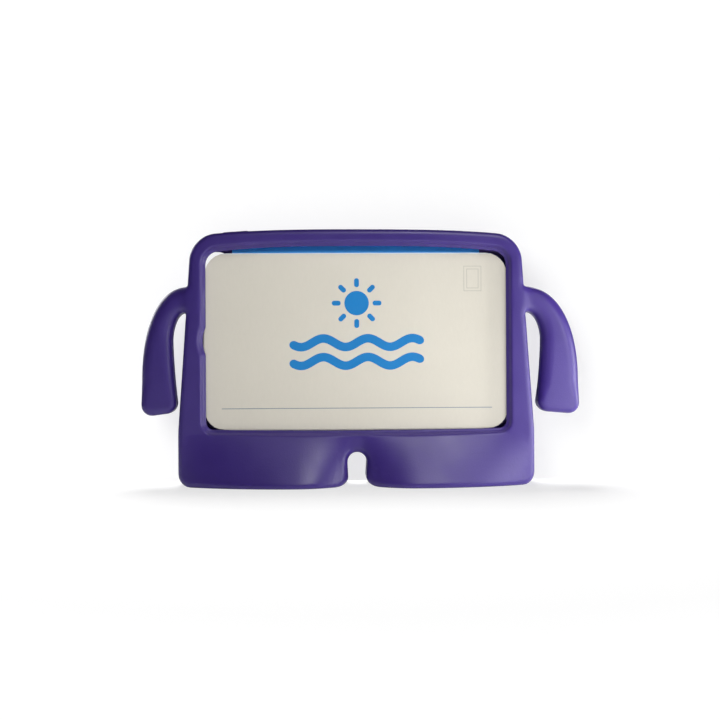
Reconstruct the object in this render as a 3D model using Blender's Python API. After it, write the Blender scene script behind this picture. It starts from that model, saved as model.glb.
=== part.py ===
"""Moulded foam tablet case with two arms and two feet, and the folded card that fills it.

The case stands on its feet and faces -Y, with X along its width and Z up from the table.
All lengths are in metres. The case is drawn about its own middle line, and an empty moves
it sideways so that the frame's origin lies under the middle of its overall width.
"""

import math

import bmesh
import bpy
from mathutils import Vector
from mathutils.geometry import delaunay_2d_cdt

# Tablet that the case is moulded for
TABLET_WIDTH = 0.2125
TABLET_HEIGHT = 0.1247
TABLET_DEPTH = 0.0080
TABLET_CLEARANCE = 0.0005
TABLET_CORNER = 0.0080

# Slab round the tablet
SEAT_HEIGHT = 0.0376
SIDE_WALL = 0.0078
HIP_SPREAD = 0.0090
HIP_POWER = 1.1
HIP_HEIGHT = 0.0380
TOP_WALL = 0.0098
TOP_BOW = 0.0046
BOW_POWER = 3
BACK_WALL = 0.0067
TOP_CORNER = 0.0180
EDGE_ROUND = 0.0038

# Lip that laps over the front of the tablet
LIP_BEVEL_WIDTH = 0.0020
LIP_BEVEL_DEPTH = 0.0034
LIP_RIM_WIDTH = 0.0014
LIP_RIM_ROUND = 0.0006
LIP_THICKNESS = 0.0021
LIP_LAP_SIDE = 0.00255
LIP_LAP_TOP = 0.0019
LIP_LAP_SILL = 0.0016
SILL_SAG = 0.0010
WINDOW_TOP_CORNER = 0.0080
WINDOW_SILL_CORNER = 0.0050

# Dish in the left lip for the tablet's front camera
DISH_CHORD = 0.0190
DISH_DEPTH = 0.0022

# Openings for the rear camera and the charging plug, and the pad over the buttons
CAMERA_HOLE_WIDTH = 0.0165
CAMERA_HOLE_HEIGHT = 0.0260
CAMERA_HOLE_CORNER = 0.0060
CAMERA_HOLE_INSET = 0.0006
CAMERA_HOLE_BEVEL = 0.0030
PORT_LENGTH = 0.0140
PORT_HEIGHT = 0.0066
BUTTON_PAD_LENGTH = 0.0180
BUTTON_PAD_WIDTH = 0.0070
BUTTON_PAD_RISE = 0.0008
BUTTON_PAD_INSET = 0.0310

# Feet
FRONT_FLARE = 0.0200
FRONT_FLARE_HEIGHT = 0.0360
REAR_FLARE = 0.0095
REAR_FLARE_HEIGHT = 0.0340
REAR_FLARE_POWER = 1.5
LOBE_CREST = 0.0420
LOBE_INNER = 0.0380
LOBE_POWER = 0.85
FOOT_CORNER = 0.0090
NOTCH_HEIGHT = 0.0231
NOTCH_RADIUS = 0.0067
NOTCH_NECK = 0.0124
FOOT_SPLAY_WIDTH = 0.0085
FOOT_SPLAY_HEIGHT = 0.0060

# Arms
LEFT_HAND_WIDTH = 0.0241
RIGHT_HAND_WIDTH = 0.0291
LEFT_HAND_GAP = 0.0028
RIGHT_HAND_GAP = 0.0043
LEFT_GRIP_GAP = 0.0086
RIGHT_GRIP_GAP = 0.0105
GAP_POWER = 1.2
ARM_DROP = 0.0351
ARM_ROOT = 0.0178
ARM_LENGTH = 0.0891
ARM_SHOULDER = 0.0660
SHOULDER_POWER = 2.2
ARM_ROUND = 0.0080
ARM_SET_BACK = 0.0015
SET_BACK_REACH = 0.0028
ARM_BEND = 0.0180
HAND_ROUND = 0.0045
HAND_ROUND_REACH = 0.0160
HAND_CORNER = 0.0075
HAND_RISE = 0.0012
ROOT_FILLET = 0.0012
PIT_FILLET = 0.0016

# Folded card
CARD_THICKNESS = 0.0007
CARD_SIDE_CLEARANCE = 0.0004
CARD_TOP_CLEARANCE = 0.0013
CARD_TOP_CORNER = 0.0150
CARD_FOOT_CORNER = 0.0130
CARD_FOLD_RADIUS = 0.0012
CARD_BACK_CLEARANCE = 0.0024
FLAP_INSET = 0.00415
FLAP_LEAN = 38.0
SEAT_GAP = 0.0003

# Sizes worked out from those above
POCKET_HALF = TABLET_WIDTH / 2 + TABLET_CLEARANCE
POCKET_FLOOR = SEAT_HEIGHT
POCKET_TOP = POCKET_FLOOR + TABLET_HEIGHT + 2 * TABLET_CLEARANCE
POCKET_MIDDLE = (POCKET_FLOOR + POCKET_TOP) / 2
POCKET_DEPTH = TABLET_DEPTH + TABLET_CLEARANCE
LIP_DEPTH = LIP_BEVEL_DEPTH + LIP_THICKNESS
SLAB_DEPTH = LIP_DEPTH + POCKET_DEPTH + BACK_WALL
SHOULDER_HALF = POCKET_HALF + SIDE_WALL
HIP_HALF = SHOULDER_HALF + HIP_SPREAD
SHOULDER_TOP = POCKET_TOP + TOP_WALL
ARM_TOP = SHOULDER_TOP - ARM_DROP
ARM_PIT = ARM_TOP - ARM_ROOT
HAND_BOTTOM = ARM_TOP - ARM_LENGTH
TOE_SLOPE = FRONT_FLARE / FRONT_FLARE_HEIGHT
HEEL_SLOPE = REAR_FLARE_POWER * REAR_FLARE / REAR_FLARE_HEIGHT
TOE_REACH = FRONT_FLARE - EDGE_ROUND * (1 + TOE_SLOPE - math.hypot(1, TOE_SLOPE))
HEEL_REACH = REAR_FLARE - EDGE_ROUND * (1 + HEEL_SLOPE - math.hypot(1, HEEL_SLOPE))
SLAB_FRONT = TOE_REACH - (TOE_REACH + SLAB_DEPTH + HEEL_REACH) / 2
SLAB_BACK = SLAB_FRONT + SLAB_DEPTH
POCKET_FRONT = SLAB_FRONT + LIP_DEPTH
POCKET_BACK = POCKET_FRONT + POCKET_DEPTH
POCKET_CENTRE = (POCKET_FRONT + POCKET_BACK) / 2
CARD_HALF = POCKET_HALF - CARD_SIDE_CLEARANCE - CARD_FOLD_RADIUS
FLAP_HALF = CARD_HALF - CARD_TOP_CORNER - FLAP_INSET
LEFT_OUTREACH = LEFT_HAND_GAP + LEFT_HAND_WIDTH
RIGHT_OUTREACH = RIGHT_HAND_GAP + RIGHT_HAND_WIDTH
CASE_OFFSET = (LEFT_OUTREACH - RIGHT_OUTREACH) / 2

# Fineness of the facets
STEP = 0.0060
FOOT_STEP = 0.0030
ARC_STEPS = 6
BEND_STEPS = 12
ROUND_STEPS = 5
TOP_STEPS = 24
DISH_STEPS = 72
LARGEST_ROUND = 0.9
CUT_MARGIN = 0.0040


def clear_scene():
    """Remove whatever the scene holds."""
    for old in list(bpy.data.objects):
        bpy.data.objects.remove(old, do_unlink=True)


def srgb(red, green, blue):
    """Turn screen values of 0 to 255 into linear colour."""
    linear = []
    for value in (red, green, blue):
        share = value / 255
        linear.append(share / 12.92 if share <= 0.04045 else ((share + 0.055) / 1.055) ** 2.4)
    return (*linear, 1.0)


def make_material(name, colour, roughness):
    """Give a dielectric material its colour and roughness."""
    material = bpy.data.materials.new(name)
    material.use_nodes = True
    shader = material.node_tree.nodes["Principled BSDF"]
    shader.inputs["Base Color"].default_value = colour
    shader.inputs["Roughness"].default_value = roughness
    shader.inputs["Metallic"].default_value = 0.0
    material.diffuse_color = colour
    return material


def make_object(name, bm, material=None):
    """Turn a bmesh into an object of the scene."""
    mesh = bpy.data.meshes.new(name)
    bm.to_mesh(mesh)
    bm.free()
    obj = bpy.data.objects.new(name, mesh)
    bpy.context.scene.collection.objects.link(obj)
    if material:
        mesh.materials.append(material)
    return obj


def boolean(target, tool, operation="DIFFERENCE"):
    """Cut or join one object by another, which stays as a hidden guide."""
    modifier = target.modifiers.new(tool.name, "BOOLEAN")
    modifier.operation = operation
    modifier.solver = "EXACT"
    modifier.object = tool
    tool.parent = target
    tool.hide_render = True
    tool.display_type = "WIRE"


def smooth_step(value):
    """Ease from 0 to 1."""
    value = min(max(value, 0.0), 1.0)
    return value * value * (3 - 2 * value)


def arc(centre_x, centre_z, radius_x, radius_z, start, end, steps=ARC_STEPS):
    """Points of an elliptical arc in the front view, between two angles in degrees."""
    points = []
    for index in range(steps + 1):
        angle = math.radians(start + (end - start) * index / steps)
        x = centre_x + radius_x * math.cos(angle)
        z = centre_z + radius_z * math.sin(angle)
        points.append(Vector((x, z)))
    return points


def between(start, end, step=STEP):
    """Evenly spaced numbers between two ends, leaving both ends out."""
    count = max(1, round(abs(end - start) / step))
    return [start + (end - start) * index / count for index in range(1, count)]


def bow(x, half):
    """Rise of the soft top bar over its straight line, for an opening or edge this wide."""
    return TOP_BOW * (1 - min(abs(x) / half, 1.0) ** BOW_POWER)


def half_width(z):
    """Half the width of the body at a height: it widens steadily from shoulders to hips."""
    share = (SHOULDER_TOP - z) / (SHOULDER_TOP - HIP_HEIGHT)
    return SHOULDER_HALF + HIP_SPREAD * min(max(share, 0.0), 1.0) ** HIP_POWER


def finger_gap(z, hand_gap, grip_gap):
    """Width of the gap between body and arm at a height, narrowest at the hand."""
    low = HAND_BOTTOM + HAND_CORNER
    high = ARM_PIT - ARM_BEND
    share = min(max((high - z) / (high - low), 0.0), 1.0)
    return grip_gap - (grip_gap - hand_gap) * share ** GAP_POWER


def splay(z):
    """Half the width of the notch between the feet at a height, below its round top."""
    rise = max(0.0, 1 - z / FOOT_SPLAY_HEIGHT)
    return NOTCH_NECK / 2 + FOOT_SPLAY_WIDTH * (1 - math.sqrt(1 - rise ** 2))


def lobe(x):
    """How far a foot swells forward across its width, from 0 at its sides to 1."""
    outer = HIP_HALF - LOBE_CREST
    reach = LOBE_INNER if abs(x) < LOBE_CREST else outer
    across = min(abs(abs(x) - LOBE_CREST) / reach, 1.0)
    return (1 - across ** 2) ** LOBE_POWER


def set_back(x, z):
    """How far the faces of the arms lie inside those of the body."""
    return ARM_SET_BACK * smooth_step((abs(x) - half_width(z)) / SET_BACK_REACH)


def front_face(x, z):
    """Depth of the front face, which flares forward over the feet."""
    rise = min(max(1 - z / FRONT_FLARE_HEIGHT, 0.0), 1.0)
    return SLAB_FRONT - FRONT_FLARE * rise * lobe(x) + set_back(x, z)


def back_face(x, z):
    """Depth of the back face, which flares back to the heels."""
    rise = min(max(1 - z / REAR_FLARE_HEIGHT, 0.0), 1.0)
    return SLAB_BACK + REAR_FLARE * rise ** REAR_FLARE_POWER - set_back(x, z)


def edge_radius(x, z):
    """Radius of the rounded edge: small round the body and the hands, larger on the arms."""
    outward = smooth_step((abs(x) - half_width(z)) / (ARM_ROOT / 2))
    upward = smooth_step((z - HAND_BOTTOM - HAND_CORNER) / HAND_ROUND_REACH)
    body = min(EDGE_ROUND, LARGEST_ROUND * FOOT_CORNER, LARGEST_ROUND * FOOT_SPLAY_HEIGHT)
    hand = min(HAND_ROUND, LARGEST_ROUND * HAND_CORNER)
    arm = min(ARM_ROUND, LARGEST_ROUND * ARM_ROOT / 2)
    return body + (hand + (arm - hand) * upward - body) * outward


def arm_outline(hand_width, hand_gap, grip_gap):
    """Outline of one arm from its pit, round the hand and back up to its root."""
    pit_side = half_width(ARM_PIT)
    points = arc(pit_side + PIT_FILLET, ARM_PIT - PIT_FILLET, PIT_FILLET, PIT_FILLET, 180, 90, 3)
    for index in range(1, BEND_STEPS + 1):
        angle = math.radians(90 - 90 * index / BEND_STEPS)
        gap = PIT_FILLET + (grip_gap - PIT_FILLET) * math.cos(angle)
        z = ARM_PIT - ARM_BEND + ARM_BEND * math.sin(angle)
        points.append(Vector((half_width(z) + gap, z)))
    hand_z = HAND_BOTTOM + HAND_CORNER
    for z in between(ARM_PIT - ARM_BEND, hand_z + HAND_RISE):
        points.append(Vector((half_width(z) + finger_gap(z, hand_gap, grip_gap), z)))
    inner = half_width(hand_z) + hand_gap
    reach = inner + hand_width
    points += arc(inner + HAND_CORNER, hand_z + HAND_RISE, HAND_CORNER, HAND_CORNER, 180, 270)
    points += arc(reach - HAND_CORNER, hand_z, HAND_CORNER, HAND_CORNER, 270, 360)
    root_side = half_width(ARM_TOP) + ROOT_FILLET
    shoulder_z = ARM_TOP - ARM_SHOULDER
    for z in between(hand_z, shoulder_z, 2 * STEP):
        points.append(Vector((reach, z)))
    for step in arc(0, 0, 1, 1, 0, 90, 2 * BEND_STEPS):
        x = root_side + (reach - root_side) * max(step.x, 0.0) ** (2 / SHOULDER_POWER)
        points.append(Vector((x, shoulder_z + ARM_SHOULDER * step.y ** (2 / SHOULDER_POWER))))
    points += arc(root_side, ARM_TOP + ROOT_FILLET, ROOT_FILLET, ROOT_FILLET, 270, 180, 3)[1:]
    return points


def half_outline(hand_width, hand_gap, grip_gap):
    """Right half of the front outline, from the top of the notch round to the top edge."""
    notch_z = NOTCH_HEIGHT - NOTCH_RADIUS
    points = arc(0, notch_z, NOTCH_RADIUS, NOTCH_RADIUS, 90, 0)
    for z in between(notch_z, FOOT_SPLAY_HEIGHT, STEP / 2):
        share = (z - FOOT_SPLAY_HEIGHT) / (notch_z - FOOT_SPLAY_HEIGHT)
        points.append(Vector((NOTCH_NECK / 2 + (NOTCH_RADIUS - NOTCH_NECK / 2) * share, z)))
    inner_foot = NOTCH_NECK / 2 + FOOT_SPLAY_WIDTH
    points += arc(inner_foot, FOOT_SPLAY_HEIGHT, FOOT_SPLAY_WIDTH, FOOT_SPLAY_HEIGHT, 180, 270)
    outer_foot = HIP_HALF - FOOT_CORNER
    points += [Vector((x, 0.0)) for x in between(inner_foot, outer_foot, FOOT_STEP)]
    points += arc(outer_foot, FOOT_CORNER, FOOT_CORNER, FOOT_CORNER, 270, 360)
    for z in between(FOOT_CORNER, ARM_PIT - PIT_FILLET):
        points.append(Vector((half_width(z), z)))
    points += arm_outline(hand_width, hand_gap, grip_gap)
    corner_z = SHOULDER_TOP - TOP_CORNER
    straight = half_width(corner_z) - TOP_CORNER
    top = arc(straight, corner_z, TOP_CORNER, TOP_CORNER, 0, 90, 2 * ARC_STEPS)
    for index in range(1, TOP_STEPS // 2 + 1):
        top.append(Vector((straight * (1 - 2 * index / TOP_STEPS), SHOULDER_TOP)))
    points += [Vector((point.x, point.y + bow(point.x, SHOULDER_HALF))) for point in top]
    return points


def case_outline():
    """Whole front outline, anticlockwise from the top of the notch."""
    right = half_outline(RIGHT_HAND_WIDTH, RIGHT_HAND_GAP, RIGHT_GRIP_GAP)
    left = half_outline(LEFT_HAND_WIDTH, LEFT_HAND_GAP, LEFT_GRIP_GAP)
    return right + [Vector((-point.x, point.y)) for point in left[-2:0:-1]]


def inward_normals(points):
    """Unit normals of a closed anticlockwise outline, pointing into it."""
    normals = []
    for index, point in enumerate(points):
        before = (point - points[index - 1]).normalized()
        after = (points[(index + 1) % len(points)] - point).normalized()
        along = (before + after).normalized()
        normals.append(Vector((-along.y, along.x)))
    return normals


def foot_lattice(step):
    """Points spread over the feet, closer together where the sill's bevel cuts them."""
    points = []
    margin = EDGE_ROUND + STEP / 2
    rows = round(FRONT_FLARE_HEIGHT / STEP) + 1
    columns = round(2 * HIP_HALF / step)
    notch_z = NOTCH_HEIGHT - NOTCH_RADIUS
    heights = [margin + (FRONT_FLARE_HEIGHT - margin) * row / rows for row in range(1, rows + 1)]
    heights += [FRONT_FLARE_HEIGHT - STEP * share for share in (1 / 6, 1 / 3, 1 / 2)]
    for z in heights:
        for column in range(1, columns):
            x = HIP_HALF * (2 * column / columns - 1)
            if HIP_HALF - abs(x) < margin:
                continue
            beside = abs(x) > splay(z) + margin
            above = z > notch_z and math.hypot(x, z - notch_z) > NOTCH_RADIUS + margin
            if above or (z <= notch_z and beside):
                points.append(Vector((x, z)))
    return points


def root_lattice():
    """Points on both sides of the crease where each arm leaves the body."""
    points = []
    radius = edge_radius(half_width(ARM_TOP) + SET_BACK_REACH, ARM_TOP)
    for z in between(ARM_PIT + radius, ARM_TOP - radius, STEP / 3):
        for out in (0.0, SET_BACK_REACH / 2, SET_BACK_REACH):
            x = half_width(z) + out
            points += [Vector((x, z)), Vector((-x, z))]
    return points


def fill_face(bm, ring, lattice, depth):
    """Close one face of the case over the innermost ring and the points inside it."""
    verts = list(ring)
    for point in lattice:
        verts.append(bm.verts.new((point.x, depth(point.x, point.y), point.y)))
    flat = [Vector((vert.co.x, vert.co.z)) for vert in verts]
    edges = [(index, (index + 1) % len(ring)) for index in range(len(ring))]
    solved = delaunay_2d_cdt(flat, edges, [], 1, 1e-7)
    origin = solved[3]
    for face in solved[2]:
        bm.faces.new([verts[origin[index][0]] for index in face])


def make_case_blank():
    """Solid of the case before its openings are cut: outline, rounded edges and feet."""
    bm = bmesh.new()
    outline = case_outline()
    normals = inward_normals(outline)
    angles = [90 * index / ROUND_STEPS for index in range(ROUND_STEPS, -1, -1)]
    stations = [(angle, front_face, 1) for angle in angles]
    stations += [(angle, back_face, -1) for angle in reversed(angles)]
    rings = []
    for angle, depth, inwards in stations:
        turn = math.radians(angle)
        ring = []
        for point, normal in zip(outline, normals):
            radius = edge_radius(point.x, point.y)
            place = point + normal * radius * (1 - math.cos(turn))
            y = depth(place.x, place.y) + inwards * radius * (1 - math.sin(turn))
            ring.append(bm.verts.new((place.x, y, place.y)))
        rings.append(ring)
    count = len(outline)
    for first, second in zip(rings, rings[1:]):
        for index in range(count):
            after = (index + 1) % count
            bm.faces.new((first[index], first[after], second[after], second[index]))
    fill_face(bm, rings[0], foot_lattice(FOOT_STEP) + root_lattice(), front_face)
    fill_face(bm, rings[-1], foot_lattice(2 * STEP) + root_lattice(), back_face)
    bmesh.ops.recalc_face_normals(bm, faces=bm.faces)
    return bm


def opening(half, floor, top, low_corner, high_corner, sag=0.0):
    """Outline of a rounded opening whose top edge bows with the bar above it."""
    points = arc(half - low_corner, floor + low_corner, low_corner, low_corner, 270, 360)
    upper = arc(half - high_corner, top - high_corner, high_corner, high_corner, 0, 90)
    straight = half - high_corner
    for index in range(1, TOP_STEPS):
        upper.append(Vector((straight * (1 - 2 * index / TOP_STEPS), top)))
    upper += arc(high_corner - half, top - high_corner, high_corner, high_corner, 90, 180)
    points += [Vector((point.x, point.y + bow(point.x, half))) for point in upper]
    points += arc(low_corner - half, floor + low_corner, low_corner, low_corner, 180, 270)
    if sag:
        for index in range(1, TOP_STEPS):
            across = 2 * index / TOP_STEPS - 1
            dip = sag * (1 - across ** 2)
            points.append(Vector(((half - low_corner) * across, floor - dip)))
    return points


def rounded_rectangle(centre_x, centre_z, width, height, corner):
    """Outline of a rectangle with round corners."""
    points = []
    for turn, side_x, side_z in ((0, 1, 1), (90, -1, 1), (180, -1, -1), (270, 1, -1)):
        x = centre_x + side_x * (width / 2 - corner)
        z = centre_z + side_z * (height / 2 - corner)
        points += arc(x, z, corner, corner, turn, turn + 90)
    return points


def loft(name, sections):
    """Closed solid through outlines of the front view, each at its own depth."""
    bm = bmesh.new()
    rings = []
    for outline, y in sections:
        rings.append([bm.verts.new((point.x, y, point.y)) for point in outline])
    count = len(rings[0])
    for first, second in zip(rings, rings[1:]):
        for index in range(count):
            after = (index + 1) % count
            bm.faces.new((first[index], first[after], second[after], second[index]))
    bm.faces.new(rings[0])
    bm.faces.new(rings[-1])
    bmesh.ops.recalc_face_normals(bm, faces=bm.faces)
    return make_object(name, bm)


def lip_section():
    """Section of the lip: how far each step lies outside its edge, and its depth."""
    slope = LIP_BEVEL_WIDTH / LIP_BEVEL_DEPTH
    mouth = LIP_RIM_WIDTH + LIP_BEVEL_WIDTH
    steps = [(mouth + CUT_MARGIN * slope, SLAB_FRONT - CUT_MARGIN)]
    rim_y = SLAB_FRONT + LIP_BEVEL_DEPTH
    steps.append((LIP_RIM_WIDTH, rim_y))
    for angle in (0, 30, 60, 90):
        turn = math.radians(angle)
        steps.append((LIP_RIM_ROUND * (1 - math.sin(turn)), rim_y + LIP_RIM_ROUND * (1 - math.cos(turn))))
    steps.append((0.0, POCKET_FRONT + POCKET_DEPTH / 4))
    return steps


def window_outline(spread):
    """Outline of the screen window, widened by a spread."""
    return opening(
        POCKET_HALF - LIP_LAP_SIDE + spread,
        POCKET_FLOOR + LIP_LAP_SILL - spread,
        POCKET_TOP - LIP_LAP_TOP + spread,
        WINDOW_SILL_CORNER + spread,
        WINDOW_TOP_CORNER + spread,
        SILL_SAG,
    )


def cut_window(case):
    """Cut the pocket, the lip round its mouth and the dish in the lip's left side."""
    pocket = opening(POCKET_HALF, POCKET_FLOOR, POCKET_TOP, TABLET_CORNER, TABLET_CORNER)
    boolean(case, loft("pocket_cut", [(pocket, POCKET_FRONT), (pocket, POCKET_BACK)]))
    sections = [(window_outline(spread), y) for spread, y in lip_section()]
    boolean(case, loft("window_cut", sections))
    radius = (DISH_CHORD ** 2 / 4 + DISH_DEPTH ** 2) / (2 * DISH_DEPTH)
    centre = LIP_LAP_SIDE - POCKET_HALF - DISH_DEPTH + radius
    sections = []
    for spread, y in lip_section():
        reach = radius + spread
        circle = arc(centre, POCKET_MIDDLE, reach, reach, 0, 360, DISH_STEPS)[:-1]
        sections.append((circle, y))
    boolean(case, loft("dish_cut", sections))


def cut_ports(case):
    """Cut the bevelled hole for the rear camera and the slot for the charging plug."""
    centre_x = CAMERA_HOLE_INSET + CAMERA_HOLE_WIDTH / 2 - POCKET_HALF
    centre_z = POCKET_TOP - CAMERA_HOLE_INSET - CAMERA_HOLE_HEIGHT / 2
    sections = []
    slope = CAMERA_HOLE_BEVEL / BACK_WALL
    inside = POCKET_BACK - POCKET_DEPTH / 3
    for y in (inside, POCKET_BACK, SLAB_BACK + CUT_MARGIN):
        spread = max(0.0, y - POCKET_BACK) * slope
        width = CAMERA_HOLE_WIDTH + 2 * spread
        height = CAMERA_HOLE_HEIGHT + 2 * spread
        corner = CAMERA_HOLE_CORNER + spread
        sections.append((rounded_rectangle(centre_x, centre_z, width, height, corner), y))
    boolean(case, loft("camera_hole_cut", sections))
    end = PORT_HEIGHT / 2
    slot = arc(0, PORT_LENGTH / 2 - end, end, end, 0, 180)
    slot += arc(0, end - PORT_LENGTH / 2, end, end, 180, 360)
    start = POCKET_HALF - SIDE_WALL / 2
    finish = half_width(POCKET_MIDDLE) + RIGHT_GRIP_GAP / 2
    port = loft("charging_slot_cut", [(slot, start), (slot, finish)])
    port.rotation_euler = (0, 0, math.radians(-90))
    port.location = (0, POCKET_CENTRE, POCKET_MIDDLE)
    boolean(case, port)


def add_button_pad(case):
    """Raise the pad that presses the tablet's buttons, on the left of the top edge."""
    bm = bmesh.new()
    bmesh.ops.create_cube(bm, size=1.0)
    tall = 4 * BUTTON_PAD_RISE
    bmesh.ops.scale(bm, vec=(BUTTON_PAD_LENGTH, BUTTON_PAD_WIDTH, tall), verts=bm.verts)
    bmesh.ops.bevel(
        bm, geom=bm.edges[:], offset=BUTTON_PAD_RISE, segments=3, profile=0.5, affect="EDGES"
    )
    pad = make_object("button_pad_form", bm)
    x = BUTTON_PAD_INSET - SHOULDER_HALF
    slope = -TOP_BOW * BOW_POWER * x * abs(x) / SHOULDER_HALF ** BOW_POWER
    surface = SHOULDER_TOP + bow(x, SHOULDER_HALF)
    pad.rotation_euler = (0, -math.atan(slope), 0)
    pad.location = (x, POCKET_CENTRE, surface + BUTTON_PAD_RISE - tall / 2)
    boolean(case, pad, "UNION")


def make_case():
    """The foam case: one moulding with its pocket, lip, arms, feet and openings."""
    foam = make_material("foam", srgb(88, 70, 150), 0.62)
    case = make_object("foam_case", make_case_blank(), foam)
    cut_window(case)
    cut_ports(case)
    add_button_pad(case)
    case.data.shade_smooth()
    case.data.set_sharp_from_angle(angle=math.radians(40))
    case.modifiers.new("even_shading", "WEIGHTED_NORMAL")
    return case


def fold_edge(bm, edges, normal, angle, radius, length):
    """Fold a flap back from the panel's edges by an angle, and return its free edges."""
    steps = 3
    for index in range(1, steps + 2):
        made = bmesh.ops.extrude_edge_only(bm, edges=edges)
        verts = [item for item in made["geom"] if isinstance(item, bmesh.types.BMVert)]
        edges = [item for item in made["geom"] if isinstance(item, bmesh.types.BMEdge)]
        turn = math.radians(angle) * min(index, steps) / steps
        before = math.radians(angle) * (index - 1) / steps
        if index <= steps:
            out = radius * (math.sin(turn) - math.sin(before))
            back = radius * (math.cos(before) - math.cos(turn))
        else:
            out = length * math.cos(turn)
            back = length * math.sin(turn)
        for vert in verts:
            vert.co += normal * out + Vector((0, back, 0))
    return edges


def card_panel():
    """Outline of the card's front panel, which stops short of its folds by their radius."""
    low = POCKET_FLOOR + SEAT_GAP + CARD_FOLD_RADIUS
    high = POCKET_FLOOR + SEAT_GAP + TABLET_HEIGHT - CARD_TOP_CLEARANCE
    foot = CARD_HALF - CARD_FOOT_CORNER
    head = CARD_HALF - CARD_TOP_CORNER
    foot_z = low + CARD_FOOT_CORNER
    head_z = high - CARD_TOP_CORNER
    points = arc(foot, foot_z, CARD_FOOT_CORNER, CARD_FOOT_CORNER, 270, 360)
    points += arc(head, head_z, CARD_TOP_CORNER, CARD_TOP_CORNER, 0, 90)
    for index in range(TOP_STEPS + 1):
        points.append(Vector((FLAP_HALF * (1 - 2 * index / TOP_STEPS), high)))
    points += arc(-head, head_z, CARD_TOP_CORNER, CARD_TOP_CORNER, 90, 180)
    points += arc(-foot, foot_z, CARD_FOOT_CORNER, CARD_FOOT_CORNER, 180, 270)
    return points, low, high


def make_card():
    """The folded card: a front panel with side and bottom flanges and a leaning top flap."""
    bm = bmesh.new()
    front = POCKET_FRONT + SEAT_GAP
    outline, low, high = card_panel()
    verts = [bm.verts.new((point.x, front, point.y)) for point in outline]
    bm.faces.new(verts)
    bm.edges.ensure_lookup_table()
    sides = {"right": [], "left": [], "bottom": [], "top": []}
    tiny = 1e-6
    for edge in bm.edges:
        middle = (edge.verts[0].co + edge.verts[1].co) / 2
        length = edge.calc_length()
        if abs(middle.x - CARD_HALF) < tiny:
            sides["right"].append(edge)
        elif abs(middle.x + CARD_HALF) < tiny:
            sides["left"].append(edge)
        elif abs(middle.z - low) < tiny and length > CARD_FOOT_CORNER:
            sides["bottom"].append(edge)
        elif abs(middle.z - high) < tiny and abs(middle.x) < FLAP_HALF:
            sides["top"].append(edge)
    flange = POCKET_DEPTH - SEAT_GAP - CARD_FOLD_RADIUS - CARD_BACK_CLEARANCE
    fold_edge(bm, sides["right"], Vector((1, 0, 0)), 90, CARD_FOLD_RADIUS, flange)
    fold_edge(bm, sides["left"], Vector((-1, 0, 0)), 90, CARD_FOLD_RADIUS, flange)
    fold_edge(bm, sides["bottom"], Vector((0, 0, -1)), 90, CARD_FOLD_RADIUS, flange)
    free = fold_edge(bm, sides["top"], Vector((0, 0, 1)), FLAP_LEAN, CARD_THICKNESS, CARD_THICKNESS)
    lean = math.radians(FLAP_LEAN)
    for vert in {vert for edge in free for vert in edge.verts}:
        ceiling = POCKET_TOP + bow(vert.co.x, POCKET_HALF) - SEAT_GAP
        rise = ceiling - vert.co.z
        vert.co += Vector((0, rise * math.tan(lean), rise))
    bmesh.ops.recalc_face_normals(bm, faces=bm.faces)
    bm.faces.ensure_lookup_table()
    if bm.faces[0].normal.y > 0:
        bmesh.ops.reverse_faces(bm, faces=bm.faces)
    card = make_object("insert_card", bm, make_material("card", srgb(225, 220, 205), 0.7))
    solid = card.modifiers.new("sheet", "SOLIDIFY")
    solid.thickness = CARD_THICKNESS
    solid.offset = -1.0
    solid.use_even_offset = True
    return card


clear_scene()
middle_line = bpy.data.objects.new("middle_line", None)
middle_line.location = (CASE_OFFSET, 0, 0)
bpy.context.scene.collection.objects.link(middle_line)
for piece in (make_case(), make_card()):
    piece.parent = middle_line
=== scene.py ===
import math

import bmesh
import bpy
from mathutils import Matrix, Vector


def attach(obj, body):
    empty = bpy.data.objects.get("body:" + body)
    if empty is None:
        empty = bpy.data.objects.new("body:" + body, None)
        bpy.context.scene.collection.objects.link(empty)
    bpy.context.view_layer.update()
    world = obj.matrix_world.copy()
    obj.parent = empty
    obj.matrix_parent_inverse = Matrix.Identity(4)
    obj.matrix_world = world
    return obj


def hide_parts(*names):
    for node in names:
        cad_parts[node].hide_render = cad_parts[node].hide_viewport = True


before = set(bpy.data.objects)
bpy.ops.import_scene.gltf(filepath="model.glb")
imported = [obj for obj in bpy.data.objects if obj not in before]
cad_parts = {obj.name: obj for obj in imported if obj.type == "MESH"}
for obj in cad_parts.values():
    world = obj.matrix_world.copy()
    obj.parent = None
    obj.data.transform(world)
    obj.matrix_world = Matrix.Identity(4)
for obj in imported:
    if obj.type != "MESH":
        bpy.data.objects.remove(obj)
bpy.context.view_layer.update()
scene = bpy.context.scene
scene.view_settings.view_transform = "Standard"


# Camera
# It looks at the case from straight ahead, a little to the left of its middle line and
# level with its mid height, so the feet and the underside are seen edge on.
CAMERA_PLACE = (-0.0188, -0.6848, 0.0869)
CAMERA_YAW = 1.5
CAMERA_ROLL = 0.3
CAMERA_NEAR = 0.01
FOCAL_PIXELS = 985.3
IMAGE_PIXELS = 720
SENSOR_WIDTH = 36.0

lens_data = bpy.data.cameras.new("camera")
lens_data.sensor_width = SENSOR_WIDTH
lens_data.lens = FOCAL_PIXELS * SENSOR_WIDTH / IMAGE_PIXELS
lens_data.clip_start = CAMERA_NEAR
camera = bpy.data.objects.new("camera", lens_data)
scene.collection.objects.link(camera)
scene.camera = camera
yaw = math.radians(CAMERA_YAW)
aim = Vector((math.sin(yaw), math.cos(yaw), 0.0))
level = aim.to_track_quat("-Z", "Y").to_matrix()
roll = Matrix.Rotation(math.radians(-CAMERA_ROLL), 3, "Z")
camera.rotation_mode = "QUATERNION"
camera.rotation_quaternion = (level @ roll).to_quaternion()
camera.location = CAMERA_PLACE


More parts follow.
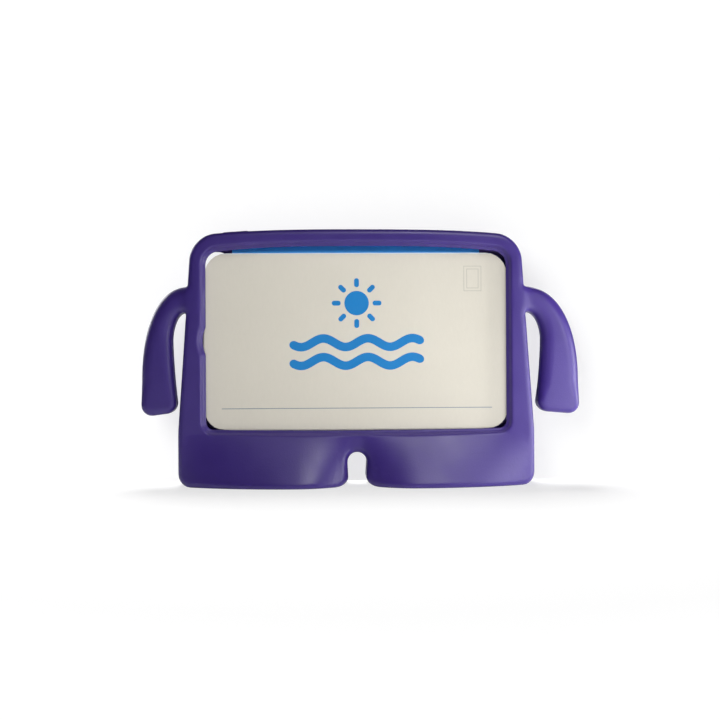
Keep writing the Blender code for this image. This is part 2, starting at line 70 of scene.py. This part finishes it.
# Table and paper behind the case
# The case stands on a white table, with a sheet of white paper just behind its heels. Both
# show to the camera as white that takes a soft shadow, and the table throws light back up.
TABLE_HALF = 6.0
TABLE_COLOUR = 0.80
MATT_ROUGHNESS = 0.9
PAPER_PLACE = 0.0262
PAPER_HALF = 1.6
SHEET_COLOUR = 0.30
SHEET_GLOW = 0.74
SHEET_GLOW_REACH = (0.35, 0.65)
SHEET_LIFT = 0.00005

def new_material(name):
    """A new material, with its tree and the shader in it."""
    material = bpy.data.materials.new(name)
    material.use_nodes = True
    return material, material.node_tree, material.node_tree.nodes["Principled BSDF"]

def matt_white(name, level):
    """Matt white of an even level."""
    material, _, shader = new_material(name)
    shader.inputs["Base Color"].default_value = (level, level, level, 1.0)
    shader.inputs["Roughness"].default_value = MATT_ROUGHNESS
    shader.inputs["Specular IOR Level"].default_value = 0.0
    return material

def add_node(tree, kind, inputs=None, **settings):
    """Add a node with its settings, and link or fill its named or numbered inputs."""
    node = tree.nodes.new(kind)
    for setting, value in settings.items():
        setattr(node, setting, value)
    for socket, value in (inputs or {}).items():
        if isinstance(value, bpy.types.NodeSocket):
            tree.links.new(value, node.inputs[socket])
        else:
            node.inputs[socket].default_value = value
    return node

def calculate(tree, operation, *values, **settings):
    """One step of arithmetic in a tree, as the socket of its result."""
    numbered = dict(enumerate(values))
    return add_node(tree, "ShaderNodeMath", numbered, operation=operation, **settings).outputs[0]

def spread(tree, value, low, high, first, last, **settings):
    """Turn the run of a value from low to high into one from first to last."""
    limits = {"Value": value, "From Min": low, "From Max": high, "To Min": first, "To Max": last}
    return add_node(tree, "ShaderNodeMapRange", limits, **settings).outputs[0]

def seen_from_front(material):
    """Show a material to the camera alone, and only on the side that faces out."""
    tree = material.node_tree
    path = add_node(tree, "ShaderNodeLightPath").outputs["Is Camera Ray"]
    back = add_node(tree, "ShaderNodeNewGeometry").outputs["Backfacing"]
    front = calculate(tree, "SUBTRACT", path, back, use_clamp=True)
    clear = add_node(tree, "ShaderNodeBsdfTransparent").outputs[0]
    white = tree.nodes["Principled BSDF"].outputs[0]
    mix = add_node(tree, "ShaderNodeMixShader", {0: front, 1: clear, 2: white})
    tree.links.new(mix.outputs[0], tree.nodes["Material Output"].inputs["Surface"])

def stage_sheet(name, corners, material):
    """One flat four-cornered piece of the set."""
    mesh = bpy.data.meshes.new(name)
    mesh.from_pydata(corners, [], [(0, 1, 2, 3)])
    mesh.materials.append(material)
    sheet = bpy.data.objects.new(name, mesh)
    scene.collection.objects.link(sheet)
    return sheet

def table_corners(z):
    """Corners of the table top at a height."""
    return [(x * TABLE_HALF, y * TABLE_HALF, z) for x, y in ((-1, -1), (1, -1), (1, 1), (-1, 1))]

table = stage_sheet("table", table_corners(0.0), matt_white("table_white", TABLE_COLOUR))
table.visible_camera = False

sheet_white = matt_white("sheet_white", SHEET_COLOUR)
tree = sheet_white.node_tree
shader = tree.nodes["Principled BSDF"]
spot = add_node(tree, "ShaderNodeTexCoord").outputs["Object"]
away = add_node(tree, "ShaderNodeVectorMath", {0: spot}, operation="LENGTH").outputs["Value"]
glow = spread(tree, away, *SHEET_GLOW_REACH, SHEET_GLOW, 1.0)
tree.links.new(glow, shader.inputs["Emission Color"])
shader.inputs["Emission Strength"].default_value = 1.0
seen_from_front(sheet_white)
table_face = stage_sheet("table_face", table_corners(SHEET_LIFT), sheet_white)
paper_corners = [
    (-PAPER_HALF, PAPER_PLACE, 0.0),
    (PAPER_HALF, PAPER_PLACE, 0.0),
    (PAPER_HALF, PAPER_PLACE, PAPER_HALF),
    (-PAPER_HALF, PAPER_PLACE, PAPER_HALF),
]
paper = stage_sheet("paper", paper_corners, sheet_white)


# Lamps and surrounding light
# The foam and the card have lamps of their own, on the right, in front and above, and two
# light the back of both. Two more only draw the soft shadows on the paper and the table.
# Each lamp is given by its name, place, side length, power and the point that it faces.
WHITE_LIGHT = (1.0, 1.0, 1.0, 1.0)
WORLD_LEVEL = 0.012
CASE_MIDDLE = (0.0, 0.0, 0.08)
RIGHT_FOOT = (0.05, 0.0, 0.03)
FOAM_LAMPS = [
    ("foam_side_lamp", (0.50, -0.06, 0.06), 0.20, 1.34, CASE_MIDDLE),
    ("foam_upper_lamp", (0.20, -0.60, 0.70), 0.20, 3.00, RIGHT_FOOT),
    ("foam_close_lamp", (0.22, -0.14, 0.12), 0.08, 0.11, RIGHT_FOOT),
    ("foam_low_lamp", (0.20, -0.12, 0.04), 0.07, 0.082, RIGHT_FOOT),
]
CARD_LAMPS = [
    ("card_side_lamp", (0.50, -0.06, 0.06), 0.20, 2.85, CASE_MIDDLE),
    ("card_upper_lamp", (0.00, -0.62, 0.90), 0.50, 5.80, CASE_MIDDLE),
    ("card_low_lamp", (0.20, -0.12, 0.04), 0.07, 0.078, RIGHT_FOOT),
    ("card_front_lamp", (0.12, -0.35, 0.04), 0.12, 0.110, RIGHT_FOOT),
]
BACK_LAMPS = [
    ("back_lamp", (0.35, 1.00, 0.60), 0.60, 6.0, CASE_MIDDLE),
    ("back_left_lamp", (-0.85, 0.75, 0.55), 0.60, 6.0, CASE_MIDDLE),
]
PAPER_LAMPS = [("paper_lamp", (-0.78, -1.00, 0.85), 1.00, 20.5, CASE_MIDDLE)]
TABLE_LAMPS = [("table_lamp", (-0.08, 0.42, 1.00), 0.55, 17.5, CASE_MIDDLE)]

world = bpy.data.worlds.new("room")
scene.world = world
world.use_nodes = True
tree = world.node_tree
tree.nodes["Background"].inputs["Color"].default_value = WHITE_LIGHT
tree.nodes["Background"].inputs["Strength"].default_value = WORLD_LEVEL
sky = tree.nodes["Background"].outputs[0]
seen = add_node(tree, "ShaderNodeBackground", {"Color": WHITE_LIGHT, "Strength": 1.0}).outputs[0]
path = add_node(tree, "ShaderNodeLightPath").outputs["Is Camera Ray"]
both = add_node(tree, "ShaderNodeMixShader", {0: path, 1: sky, 2: seen})
tree.links.new(both.outputs[0], tree.nodes["World Output"].inputs["Surface"])

def lamp_at(name, place, size, power, target, reach):
    """A square lamp turned to a point, which lights the things in a collection."""
    lamp_data = bpy.data.lights.new(name, "AREA")
    lamp_data.shape = "SQUARE"
    lamp_data.size = size
    lamp_data.energy = power
    lamp = bpy.data.objects.new(name, lamp_data)
    lamp.location = place
    lamp.rotation_mode = "QUATERNION"
    lamp.rotation_quaternion = (Vector(target) - Vector(place)).to_track_quat("-Z", "Y")
    scene.collection.objects.link(lamp)
    lamp.light_linking.receiver_collection = reach

foam_reach = bpy.data.collections.new("foam_reach")
card_reach = bpy.data.collections.new("card_reach")
case_reach = bpy.data.collections.new("case_reach")
for reach in (foam_reach, card_reach, case_reach):
    reach.objects.link(table)
paper_reach = bpy.data.collections.new("paper_reach")
paper_reach.objects.link(paper)
table_reach = bpy.data.collections.new("table_reach")
table_reach.objects.link(table_face)
for lamps, reach in (
    (FOAM_LAMPS, foam_reach),
    (CARD_LAMPS, card_reach),
    (BACK_LAMPS, case_reach),
    (PAPER_LAMPS, paper_reach),
    (TABLE_LAMPS, table_reach),
):
    for settings in lamps:
        lamp_at(*settings, reach)


# Foam case
# One moulding of closed-cell foam, with a smooth skin that the mould gives it. All its
# edges are soft, the skin has a fine pebble, and a faint line runs round where the mould met.
MERGE_DISTANCE = 1e-6
FOAM_VOXEL = 0.0006
SMOOTHING_STEP = 0.5
FOAM_SMOOTHING = 7
FOAM_TRIANGLES = 190000
ARM_ROOTS = ((-0.1198, 0.1290), (0.1154, 0.1290))
ROOT_REACH = (0.0130, 0.0170)
ROOT_FADE = 1.6
ROOT_FACING = 0.55
ROOT_SMOOTHING = 90
FOAM_COLOUR = (0.0450, 0.0222, 0.200)
FOAM_WORN_COLOUR = (0.0510, 0.0258, 0.214)
FOAM_ROUGHNESS = (0.37, 0.45)
MOTTLE_SCALE = 42.0
MOTTLE_DETAIL = 3.0
MOTTLE_TINT_REACH = (0.35, 0.70)
MOTTLE_SHEEN_REACH = (0.3, 0.7)
PEBBLE_SCALE = 1700.0
PEBBLE_DETAIL = 2.0
PEBBLE_HEIGHT = 0.00006
CELL_SCALE = 900.0
CELL_HEIGHT = 0.00003
MOULD_LINE_PLACE = 0.0051
MOULD_LINE_WIDTH = 0.0004
MOULD_LINE_HEIGHT = 0.00012
MOULD_LINE_FACING = (0.1, 0.4)

def join_loose_triangles(source, name):
    """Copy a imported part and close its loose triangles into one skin."""
    mesh = source.data.copy()
    mesh.materials.clear()
    bm = bmesh.new()
    bm.from_mesh(mesh)
    bmesh.ops.remove_doubles(bm, verts=bm.verts, dist=MERGE_DISTANCE)
    bm.to_mesh(mesh)
    bm.free()
    mesh.name = name
    piece = bpy.data.objects.new(name, mesh)
    scene.collection.objects.link(piece)
    return piece

def settle_modifiers(piece):
    """Turn a piece with its modifiers into a plain mesh."""
    bpy.context.view_layer.update()
    shaped = piece.evaluated_get(bpy.context.evaluated_depsgraph_get())
    mesh = bpy.data.meshes.new_from_object(shaped)
    piece.modifiers.clear()
    piece.data = mesh
    mesh.name = piece.name

def weigh_arm_roots(piece, name):
    """Mark the faces where the arms run into the sides, fading out round each root."""
    group = piece.vertex_groups.new(name=name)
    levels = {}
    for vertex in piece.data.vertices:
        if abs(vertex.normal.y) < ROOT_FACING:
            continue
        for root_x, root_z in ARM_ROOTS:
            reach_x = (vertex.co.x - root_x) / ROOT_REACH[0]
            reach_z = (vertex.co.z - root_z) / ROOT_REACH[1]
            weight = round(ROOT_FADE - ROOT_FADE * math.hypot(reach_x, reach_z), 1)
            if weight > 0.0:
                levels.setdefault(min(weight, 1.0), []).append(vertex.index)
    for weight, members in levels.items():
        group.add(members, weight, "REPLACE")

foam_skin = join_loose_triangles(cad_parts["foam_case"], "foam_skin")
remesh = foam_skin.modifiers.new("even_skin", "REMESH")
remesh.mode = "VOXEL"
remesh.voxel_size = FOAM_VOXEL
remesh.use_smooth_shade = True
soften = foam_skin.modifiers.new("soft_edges", "SMOOTH")
soften.factor = SMOOTHING_STEP
soften.iterations = FOAM_SMOOTHING
settle_modifiers(foam_skin)
weigh_arm_roots(foam_skin, "arm_roots")
blend_roots = foam_skin.modifiers.new("blended_roots", "SMOOTH")
blend_roots.factor = SMOOTHING_STEP
blend_roots.iterations = ROOT_SMOOTHING
blend_roots.vertex_group = "arm_roots"
settle_modifiers(foam_skin)
skin_triangles = 2 * len(foam_skin.data.polygons)
thin = foam_skin.modifiers.new("fewer_faces", "DECIMATE")
thin.ratio = min(1.0, FOAM_TRIANGLES / skin_triangles)
settle_modifiers(foam_skin)
foam_skin.data.shade_smooth()

def one_axis(tree, vector, axis):
    """One axis of a vector, as a socket."""
    return add_node(tree, "ShaderNodeSeparateXYZ", {0: vector}).outputs[axis]

def add_bump(tree, height, distance, **under):
    """Raise a surface by a height, on top of another bump if one is given as Normal."""
    return add_node(
        tree, "ShaderNodeBump", {"Distance": distance, "Height": height, **under}
    ).outputs[0]

foam, tree, shader = new_material("violet_foam")
spot = add_node(tree, "ShaderNodeTexCoord").outputs["Object"]
mottle = add_node(
    tree, "ShaderNodeTexNoise", {"Vector": spot, "Scale": MOTTLE_SCALE, "Detail": MOTTLE_DETAIL}
).outputs[0]
tint = add_node(tree, "ShaderNodeValToRGB", {"Fac": mottle})
colours = (FOAM_COLOUR, FOAM_WORN_COLOUR)
for stop, place, colour in zip(tint.color_ramp.elements, MOTTLE_TINT_REACH, colours):
    stop.position = place
    stop.color = (*colour, 1.0)
tree.links.new(tint.outputs[0], shader.inputs["Base Color"])
sheen = spread(tree, mottle, *MOTTLE_SHEEN_REACH, *FOAM_ROUGHNESS)
tree.links.new(sheen, shader.inputs["Roughness"])
pebble = add_node(
    tree, "ShaderNodeTexNoise", {"Vector": spot, "Scale": PEBBLE_SCALE, "Detail": PEBBLE_DETAIL}
).outputs[0]
cells = add_node(
    tree, "ShaderNodeTexVoronoi", {"Vector": spot, "Scale": CELL_SCALE}, feature="SMOOTH_F1"
).outputs[0]
from_line = calculate(tree, "SUBTRACT", one_axis(tree, spot, "Y"), MOULD_LINE_PLACE)
aside = calculate(tree, "ABSOLUTE", from_line)
half_width = MOULD_LINE_WIDTH / 2
ridge = spread(tree, aside, 0.0, half_width, 1.0, 0.0, interpolation_type="SMOOTHSTEP")
facing = add_node(tree, "ShaderNodeNewGeometry").outputs["Normal"]
flatness = calculate(tree, "ABSOLUTE", one_axis(tree, facing, "Y"))
on_side = spread(tree, flatness, *MOULD_LINE_FACING, 1.0, 0.0)
mould_line = calculate(tree, "MULTIPLY", ridge, on_side)
line_bump = add_bump(tree, mould_line, MOULD_LINE_HEIGHT)
cell_bump = add_bump(tree, cells, CELL_HEIGHT, Normal=line_bump)
pebble_bump = add_bump(tree, pebble, PEBBLE_HEIGHT, Normal=cell_bump)
tree.links.new(pebble_bump, shader.inputs["Normal"])
foam_skin.data.materials.append(foam)
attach(foam_skin, "root")
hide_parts("foam_case")
foam_reach.objects.link(foam_skin)
case_reach.objects.link(foam_skin)


# Folded card
# A sheet of printed board, folded back at its sides and foot into a shallow tray, with a
# top flap that leans back under the top bar. The front is cream and the flap is blue, and a
# pale blue-white band just below the fold between them is a painted highlight. The back of
# the sheet is plain board.
CARD_FOLD = 0.1613
# The pale blue-white band just below the fold is a painted highlight.
FOLD_HIGHLIGHT_WIDTH = 0.0011
FOLD_HIGHLIGHT_SHARE = 0.9
FLAP_EDGE = 0.0002
CREAM_COLOUR = (0.691, 0.657, 0.572)
FOLD_HIGHLIGHT_COLOUR = (0.70, 0.79, 0.83)
FLAP_COLOUR = (0.060, 0.380, 0.950)
BOARD_COLOUR = (0.46, 0.43, 0.37)
BACK_FACING = (0.1, 0.3)
CARD_ROUGHNESS = 0.55
CARD_VARIATION = 0.035
INK_SHINE = 0.35
FIBRE_SCALE = 700.0
FIBRE_STRETCH = (1.0, 1.0, 0.35)
FIBRE_DETAIL = 4.0
FIBRE_CURL = 0.6
FIBRE_HEIGHT = 0.00004
CLOUD_SCALE = 28.0
CLOUD_DETAIL = 2.0
TONE_REACH = (0.6, 1.4)
CARD_SHARP_ANGLE = 40.0
FLAT_ANGLE = 0.5
BROAD_FACE = 0.00005

grain_tree = bpy.data.node_groups.new("paper_grain", "ShaderNodeTree")
for label, side in (("Fibre Scale", "INPUT"), ("Tone", "OUTPUT"), ("Height", "OUTPUT")):
    grain_tree.interface.new_socket(label, in_out=side, socket_type="NodeSocketFloat")
group_in = grain_tree.nodes.new("NodeGroupInput")
group_out = grain_tree.nodes.new("NodeGroupOutput")
spot = add_node(grain_tree, "ShaderNodeTexCoord").outputs["Object"]
laid = add_node(
    grain_tree, "ShaderNodeVectorMath", {0: spot, 1: FIBRE_STRETCH}, operation="MULTIPLY"
).outputs[0]
fibre_look = {
    "Vector": laid,
    "Scale": group_in.outputs["Fibre Scale"],
    "Detail": FIBRE_DETAIL,
    "Distortion": FIBRE_CURL,
}
fibres = add_node(grain_tree, "ShaderNodeTexNoise", fibre_look).outputs[0]
cloud_look = {"Vector": spot, "Scale": CLOUD_SCALE, "Detail": CLOUD_DETAIL}
clouds = add_node(grain_tree, "ShaderNodeTexNoise", cloud_look).outputs[0]
blend = calculate(grain_tree, "ADD", fibres, clouds)
tone = spread(grain_tree, blend, *TONE_REACH, 0.0, 1.0)
grain_tree.links.new(tone, group_out.inputs["Tone"])
grain_tree.links.new(fibres, group_out.inputs["Height"])

def mix_colour(tree, share, first, second):
    """Blend two colours by a share. Inputs 6 and 7 of a Mix node are its colours."""
    mix = add_node(tree, "ShaderNodeMix", {0: share, 6: first, 7: second}, data_type="RGBA")
    return mix.outputs[2]

def grained_ink(name, colour, roughness, variation):
    """Printing ink or board of one colour, with the grain of the paper in it."""
    material, tree, shader = new_material(name)
    shader.inputs["Roughness"].default_value = roughness
    shader.inputs["Specular IOR Level"].default_value = INK_SHINE
    grain = add_node(tree, "ShaderNodeGroup", node_tree=grain_tree)
    grain.inputs["Fibre Scale"].default_value = FIBRE_SCALE
    darker = (*(value * (1 - variation) for value in colour), 1.0)
    grained = mix_colour(tree, grain.outputs["Tone"], darker, (*colour, 1.0))
    tree.links.new(grained, shader.inputs["Base Color"])
    bump = add_bump(tree, grain.outputs["Height"], FIBRE_HEIGHT)
    tree.links.new(bump, shader.inputs["Normal"])
    return material

board = grained_ink("printed_board", CREAM_COLOUR, CARD_ROUGHNESS, CARD_VARIATION)
tree = board.node_tree
shader = tree.nodes["Principled BSDF"]
colour = shader.inputs["Base Color"].links[0].from_socket
spot = add_node(tree, "ShaderNodeTexCoord").outputs["Object"]
height = one_axis(tree, spot, "Z")
facing = add_node(tree, "ShaderNodeNewGeometry").outputs["Normal"]
turned = one_axis(tree, facing, "Y")
# Painted highlight: just below the fold the board turns pale blue-white.
fold_highlight = spread(tree, height, CARD_FOLD - FOLD_HIGHLIGHT_WIDTH, CARD_FOLD, 0.0, FOLD_HIGHLIGHT_SHARE)
on_flap = spread(tree, height, CARD_FOLD, CARD_FOLD + FLAP_EDGE, 0.0, 1.0)
on_back = spread(tree, turned, *BACK_FACING, 0.0, 1.0)
for share, paint in (
    (fold_highlight, FOLD_HIGHLIGHT_COLOUR),
    (on_flap, FLAP_COLOUR),
    (on_back, BOARD_COLOUR),
):
    colour = mix_colour(tree, share, colour, (*paint, 1.0))
tree.links.new(colour, shader.inputs["Base Color"])

def smooth_round_flats(mesh, sharp_angle):
    """Shade bends smooth, and keep sharp edges and the borders of broad flat faces."""
    bm = bmesh.new()
    bm.from_mesh(mesh)
    for face in bm.faces:
        face.smooth = True
    for edge in bm.edges:
        turn = math.degrees(edge.calc_face_angle(0.0))
        broad = max(face.calc_area() for face in edge.link_faces) > BROAD_FACE
        edge.smooth = turn < sharp_angle and not (broad and turn > FLAT_ANGLE)
    bm.to_mesh(mesh)
    bm.free()

card = join_loose_triangles(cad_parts["insert_card"], "folded_card")
smooth_round_flats(card.data, CARD_SHARP_ANGLE)
card.data.materials.append(board)
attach(card, "root")
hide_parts("insert_card")
card_reach.objects.link(card)
case_reach.objects.link(card)


# Print on the card
# A sun over two waves is printed on the card's front in one flat blue, with a thin rule
# below and a small pale double frame by the upper right corner. The ink lies on the board.
INK_COLOUR = (0.0090, 0.220, 0.580)
RULE_COLOUR = (0.22, 0.27, 0.33)
FRAME_COLOUR = (0.56, 0.54, 0.47)
INK_ROUGHNESS = 0.45
INK_VARIATION = 0.05
FRAME_VARIATION = 0.03
INK_BACK = 0.000574
INK_THICKNESS = 0.00005
SUN_PLACE = (-0.0030, 0.1265)
SUN_RADIUS = 0.0085
SUN_SIDES = 72
RAY_COUNT = 8
RAY_LENGTH = 0.0062
RAY_WIDTH = 0.0034
RAY_GAP = 0.0026
RAY_CORNER_SHARE = 0.48
RAY_CORNER_STEPS = 8
WAVE_LENGTH = 0.0310
WAVE_RISE = 0.0030
WAVE_WIDTH = 0.0060
WAVE_SPAN = 0.0930
WAVE_PLACES = ((-0.0030, 0.0990), (-0.0030, 0.0860))
RULE_SPAN = 0.1885
RULE_WIDTH = 0.0005
RULE_PLACE = (-0.0028, 0.0535)
BAND_COLUMNS = 321
BAND_ROWS = 3
BAND_TIP = 0.01
FRAME_PLACE = (0.0779, 0.1434)
FRAME_SIZE = (0.0125, 0.0177)
FRAME_LINE = 0.0005
FRAME_STEP = 0.0020

def shape_tree(name, labels):
    """An empty Geometry Nodes tree with named inputs, and the sockets they come from."""
    tree = bpy.data.node_groups.new(name, "GeometryNodeTree")
    tree.interface.new_socket("Geometry", in_out="OUTPUT", socket_type="NodeSocketGeometry")
    for label in labels:
        kind = "NodeSocketInt" if label.endswith("Count") else "NodeSocketFloat"
        tree.interface.new_socket(label, in_out="INPUT", socket_type=kind)
    return tree, tree.nodes.new("NodeGroupInput").outputs

def stand_on_card(tree, flat, size, ink):
    """Stand a flat shape up on the front of the card, and give it its ink."""
    corner = {0: size["Place X"], 1: INK_BACK, 2: size["Place Z"]}
    place = add_node(tree, "ShaderNodeCombineXYZ", corner).outputs[0]
    turn = {0: flat, "Translation": place, "Rotation": (math.pi / 2, 0.0, 0.0)}
    stood = add_node(tree, "GeometryNodeTransform", turn)
    whole = add_node(tree, "GeometryNodeRealizeInstances", {0: stood.outputs[0]})
    inked = add_node(tree, "GeometryNodeSetMaterial", {0: whole.outputs[0], "Material": ink})
    tree.links.new(inked.outputs[0], tree.nodes.new("NodeGroupOutput").inputs[0])

def print_on_card(name, tree, place, sizes):
    """Make the shape of a tree, give it the body of a layer of ink and fix it to the card."""
    piece = bpy.data.objects.new(name, bpy.data.meshes.new(name))
    scene.collection.objects.link(piece)
    shape = piece.modifiers.new(name, "NODES")
    shape.node_group = tree
    values = {**sizes, "Place X": place[0], "Place Z": place[1]}
    for item in tree.interface.items_tree:
        if item.in_out == "INPUT":
            shape[item.identifier] = values[item.name]
    layer = piece.modifiers.new("ink_layer", "SOLIDIFY")
    layer.thickness = INK_THICKNESS
    layer.offset = 1.0
    settle_modifiers(piece)
    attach(piece, "root")
    card_reach.objects.link(piece)

blue_ink = grained_ink("blue_ink", INK_COLOUR, INK_ROUGHNESS, INK_VARIATION)
rule_ink = grained_ink("rule_ink", RULE_COLOUR, INK_ROUGHNESS, INK_VARIATION)
frame_ink = grained_ink("frame_ink", FRAME_COLOUR, INK_ROUGHNESS, FRAME_VARIATION)

sun_sizes = {
    "Disc Radius": SUN_RADIUS,
    "Ray Count": RAY_COUNT,
    "Ray Length": RAY_LENGTH,
    "Ray Width": RAY_WIDTH,
    "Ray Gap": RAY_GAP,
}
tree, size = shape_tree("sun_shape", (*sun_sizes, "Place X", "Place Z"))
rim = {"Resolution": SUN_SIDES, "Radius": size["Disc Radius"]}
edge = add_node(tree, "GeometryNodeCurvePrimitiveCircle", rim)
disc = add_node(tree, "GeometryNodeFillCurve", {0: edge.outputs[0]}, mode="NGONS")
inner_end = calculate(tree, "ADD", size["Disc Radius"], size["Ray Gap"])
ring = calculate(tree, "MULTIPLY_ADD", size["Ray Length"], 0.5, inner_end)
seats = add_node(tree, "GeometryNodeMeshCircle", {"Vertices": size["Ray Count"], "Radius": ring})
bar_sizes = {"Width": size["Ray Length"], "Height": size["Ray Width"]}
bar = add_node(tree, "GeometryNodeCurvePrimitiveQuadrilateral", bar_sizes)
corner = calculate(tree, "MULTIPLY", size["Ray Width"], RAY_CORNER_SHARE)
rounding = {0: bar.outputs[0], "Count": RAY_CORNER_STEPS, "Radius": corner}
rounded = add_node(tree, "GeometryNodeFilletCurve", rounding, mode="POLY")
ray = add_node(tree, "GeometryNodeFillCurve", {0: rounded.outputs[0]}, mode="NGONS")
outward = add_node(tree, "GeometryNodeInputPosition").outputs[0]
turn = add_node(tree, "FunctionNodeAlignRotationToVector", {"Vector": outward}, axis="X")
seating = {"Points": seats.outputs[0], "Instance": ray.outputs[0], "Rotation": turn.outputs[0]}
rays = add_node(tree, "GeometryNodeInstanceOnPoints", seating)
sun = add_node(tree, "GeometryNodeJoinGeometry", {0: disc.outputs[0]})
tree.links.new(rays.outputs[0], sun.inputs[0])
stand_on_card(tree, sun.outputs[0], size, blue_ink)
print_on_card("printed_sun", tree, SUN_PLACE, sun_sizes)

def band_tree(name, ink):
    """Tree of a flat band with rounded ends that rises and falls along its span."""
    labels = ("Span", "Width", "Wave Length", "Rise", "Place X", "Place Z")
    tree, size = shape_tree(name, labels)
    cells = {
        "Size X": size["Span"],
        "Size Y": size["Width"],
        "Vertices X": BAND_COLUMNS,
        "Vertices Y": BAND_ROWS,
    }
    strip = add_node(tree, "GeometryNodeMeshGrid", cells)
    position = add_node(tree, "GeometryNodeInputPosition").outputs[0]
    along, across = one_axis(tree, position, "X"), one_axis(tree, position, "Y")

    # The middle line is a sine wave, and the band is as wide square to it all along.
    pitch = calculate(tree, "DIVIDE", math.tau, size["Wave Length"])
    angle = calculate(tree, "MULTIPLY", along, pitch)
    height = calculate(tree, "MULTIPLY", size["Rise"], calculate(tree, "SINE", angle))
    steepness = calculate(tree, "MULTIPLY", size["Rise"], pitch)
    slope = calculate(tree, "MULTIPLY", steepness, calculate(tree, "COSINE", angle))
    lean = calculate(tree, "MULTIPLY", slope, -1.0)
    square = add_node(tree, "ShaderNodeCombineXYZ", {0: lean, 1: 1.0}).outputs[0]
    sideways = add_node(tree, "ShaderNodeVectorMath", {0: square}, operation="NORMALIZE")

    # Within half a width of either end, the band narrows as a half circle does.
    half_span = calculate(tree, "MULTIPLY", size["Span"], 0.5)
    half_width = calculate(tree, "MULTIPLY", size["Width"], 0.5)
    inset = calculate(tree, "SUBTRACT", half_span, calculate(tree, "ABSOLUTE", along))
    share = calculate(tree, "DIVIDE", inset, half_width)
    left_over = calculate(tree, "MAXIMUM", calculate(tree, "SUBTRACT", 1.0, share), 0.0)
    arc = calculate(tree, "SUBTRACT", 1.0, calculate(tree, "MULTIPLY", left_over, left_over))
    fullness = calculate(tree, "SQRT", calculate(tree, "MAXIMUM", arc, BAND_TIP))
    reach = calculate(tree, "MULTIPLY", across, fullness)

    middle = add_node(tree, "ShaderNodeCombineXYZ", {0: along, 1: height}).outputs[0]
    aside = {0: sideways.outputs[0], "Scale": reach}
    step = add_node(tree, "ShaderNodeVectorMath", aside, operation="SCALE").outputs[0]
    spot = add_node(tree, "ShaderNodeVectorMath", {0: middle, 1: step}, operation="ADD").outputs[0]
    band = add_node(tree, "GeometryNodeSetPosition", {0: strip.outputs[0], "Position": spot})
    stand_on_card(tree, band.outputs[0], size, ink)
    return tree

wave_tree = band_tree("wave_shape", blue_ink)
wave_sizes = {
    "Span": WAVE_SPAN,
    "Width": WAVE_WIDTH,
    "Wave Length": WAVE_LENGTH,
    "Rise": WAVE_RISE,
}
for number, place in enumerate(WAVE_PLACES, 1):
    print_on_card(f"printed_wave_{number}", wave_tree, place, wave_sizes)
rule_sizes = {"Span": RULE_SPAN, "Width": RULE_WIDTH, "Wave Length": 1.0, "Rise": 0.0}
print_on_card("printed_rule", band_tree("rule_shape", rule_ink), RULE_PLACE, rule_sizes)

frame_sizes = {
    "Width": FRAME_SIZE[0],
    "Height": FRAME_SIZE[1],
    "Line": FRAME_LINE,
    "Step": FRAME_STEP,
}
tree, size = shape_tree("frame_shape", (*frame_sizes, "Place X", "Place Z"))
outlines = add_node(tree, "GeometryNodeJoinGeometry")
inner_line = calculate(tree, "ADD", size["Step"], size["Line"])
for inset in (0.0, size["Line"], size["Step"], inner_line):
    sides = {
        label: calculate(tree, "MULTIPLY_ADD", inset, -2.0, size[label])
        for label in ("Width", "Height")
    }
    outline = add_node(tree, "GeometryNodeCurvePrimitiveQuadrilateral", sides)
    tree.links.new(outline.outputs[0], outlines.inputs[0])
rings = add_node(tree, "GeometryNodeFillCurve", {0: outlines.outputs[0]}, mode="TRIANGLES")
stand_on_card(tree, rings.outputs[0], size, frame_ink)
print_on_card("printed_frame", tree, FRAME_PLACE, frame_sizes)
